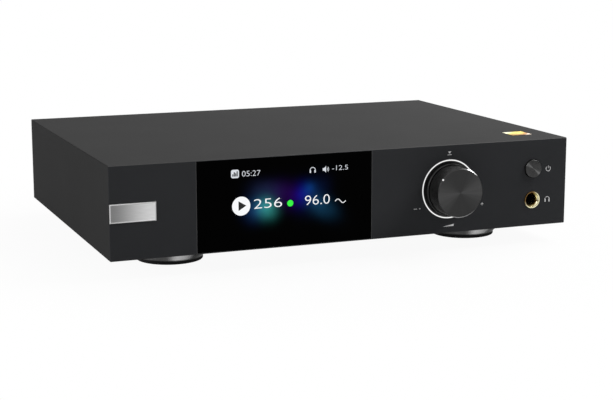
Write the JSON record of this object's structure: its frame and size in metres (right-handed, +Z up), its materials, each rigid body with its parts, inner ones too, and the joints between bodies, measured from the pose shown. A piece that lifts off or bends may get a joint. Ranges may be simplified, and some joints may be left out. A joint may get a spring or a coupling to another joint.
{
  "type": "desktop dac",
  "caption": "Desktop digital-to-analogue converter: a low dark metal case with a glass display window, a lit volume knob, a power button and a headphone socket.",
  "frame": {"origin": "middle of the whole object's footprint, on the surface it stands on", "axes": "+Z up, +X to the right seen from the front, +Y towards the back"},
  "size_m": [0.27, 0.2146, 0.0606],
  "materials": {
    "case_aluminium": "anodised, fine satin",
    "black_steel": "fine powder coat",
    "plated_steel": "zinc plated",
    "black_screws": "black oxide",
    "window_glass": "black backed, polished",
    "screen": "lit panel",
    "badge_metal": "fine satin with a bright bevel",
    "gold_foil": "bright foil",
    "foot_gloss": "gloss dark",
    "foot_rubber": "matte",
    "light_acrylic": "lit from behind",
    "black_plastic": "fine texture",
    "knob_aluminium": "anodised, spun face",
    "white_paint": "matte",
    "brass": "gold plated",
    "shaft_steel": "ground",
    "board_laminate": "solder mask",
    "standoff_metal": "nickel plated",
    "capacitor_sleeve": "printed sleeve",
    "ferrite": "matte ferrite",
    "coil_tape": "winding tape",
    "sink_aluminium": "extruded",
    "insert_plastic": "coloured per socket",
    "xlr_metal": "black chrome",
    "lead_plastic": "coloured insulation",
    "flat_cable_film": "film"
  },
  "bodies": {
    "case": {"front_panel": "case_aluminium", "display_glass": "window_glass", "display_module": "screen", "badge_plate": "badge_metal", "foil_label": "gold_foil", "top_cover": "case_aluminium", "base_plate": "black_steel", "rear_panel": "black_steel", "front_bracket": "plated_steel", "foot_shells": "foot_gloss", "foot_pads": "foot_rubber", "foot_screws": "black_screws", "light_ring": "light_acrylic", "dial_base": "black_plastic", "ring_light_board": "board_laminate", "encoder_housing": "black_plastic", "encoder_bushing": "brass", "bushing_nut": "brass", "front_board": "board_laminate", "power_switch": "black_plastic", "jack_collar": "brass", "jack_body": "black_plastic", "jack_contacts": "plated_steel", "main_board": "board_laminate", "power_board": "board_laminate", "board_standoffs": "standoff_metal", "board_headers": "black_plastic", "signal_chips": "black_plastic", "clock_shield": "plated_steel", "output_relays": "black_plastic", "filter_capacitors": "capacitor_sleeve", "power_transformer": "ferrite", "wound_coils": "coil_tape", "heat_sink": "sink_aluminium", "phono_blocks": "black_plastic", "phono_barrels": "brass", "phono_inserts": "insert_plastic", "xlr_shells": "xlr_metal", "xlr_pins": "brass", "usb_socket": "plated_steel", "optical_sockets": "black_plastic", "antenna_socket": "brass", "mains_inlet": "black_plastic", "mains_terminals": "brass", "rocker_frame": "black_plastic", "inner_leads": "lead_plastic", "display_cable": "flat_cable_film", "case_screws": "black_screws", "inner_screws": "plated_steel"},
    "plunger": {"encoder_switch_pin": "black_plastic"},
    "knob": {"volume_knob": "knob_aluminium", "knob_index_dot": "white_paint", "knob_set_screw": "black_screws", "knob_shaft": "shaft_steel"},
    "rotor": {"encoder_rotor": "black_plastic"},
    "button": {"power_button": "knob_aluminium"},
    "switch_pin": {"power_switch_pin": "black_plastic"},
    "rocker": {"rocker_paddle": "black_plastic"},
    "flap_a": {"optical_flap_a": "black_plastic"},
    "flap_b": {"optical_flap_b": "black_plastic"}
  },
  "joints": [
    {"name": "knob_push", "type": "slide", "parent": "case", "child": "plunger", "axis": [0, 1, 0], "range_m": [0, 0.0006], "stiffness_N_per_m": 2500, "springref_m": -0.0005},
    {"name": "knob_turn", "type": "hinge", "parent": "plunger", "child": "knob", "pos_m": [0.05949, -0.10725, 0.0354], "axis": [0, -1, 0], "continuous": true},
    {"name": "rotor_turn", "type": "hinge", "parent": "case", "child": "rotor", "pos_m": [0.05949, -0.08405, 0.0354], "axis": [0, -1, 0], "continuous": true},
    {"name": "power_press", "type": "slide", "parent": "case", "child": "button", "axis": [0, 1, 0], "range_m": [0, 0.0008], "stiffness_N_per_m": 1500, "springref_m": -0.0007},
    {"name": "switch_press", "type": "slide", "parent": "case", "child": "switch_pin", "axis": [0, 1, 0], "range_m": [0, 0.0008]},
    {"name": "rocker_tilt", "type": "hinge", "parent": "case", "child": "rocker", "pos_m": [-0.06305, 0.09775, 0.0354], "axis": [1, 0, 0], "range_deg": [0, 16]},
    {"name": "flap_a_swing", "type": "hinge", "parent": "case", "child": "flap_a", "pos_m": [0.01296, 0.09605, 0.02795], "axis": [-1, 0, 0], "range_deg": [0, 75], "stiffness_Nm_per_rad": 0.00002, "springref_deg": -22.92},
    {"name": "flap_b_swing", "type": "hinge", "parent": "case", "child": "flap_b", "pos_m": [-0.00202, 0.09605, 0.02795], "axis": [-1, 0, 0], "range_deg": [0, 75], "stiffness_Nm_per_rad": 0.00002, "springref_deg": -22.92}
  ],
  "couplings": [
    {"joint": "rotor_turn", "follows": "knob_turn", "ratio": 1},
    {"joint": "switch_press", "follows": "power_press", "ratio": 1}
  ]
}
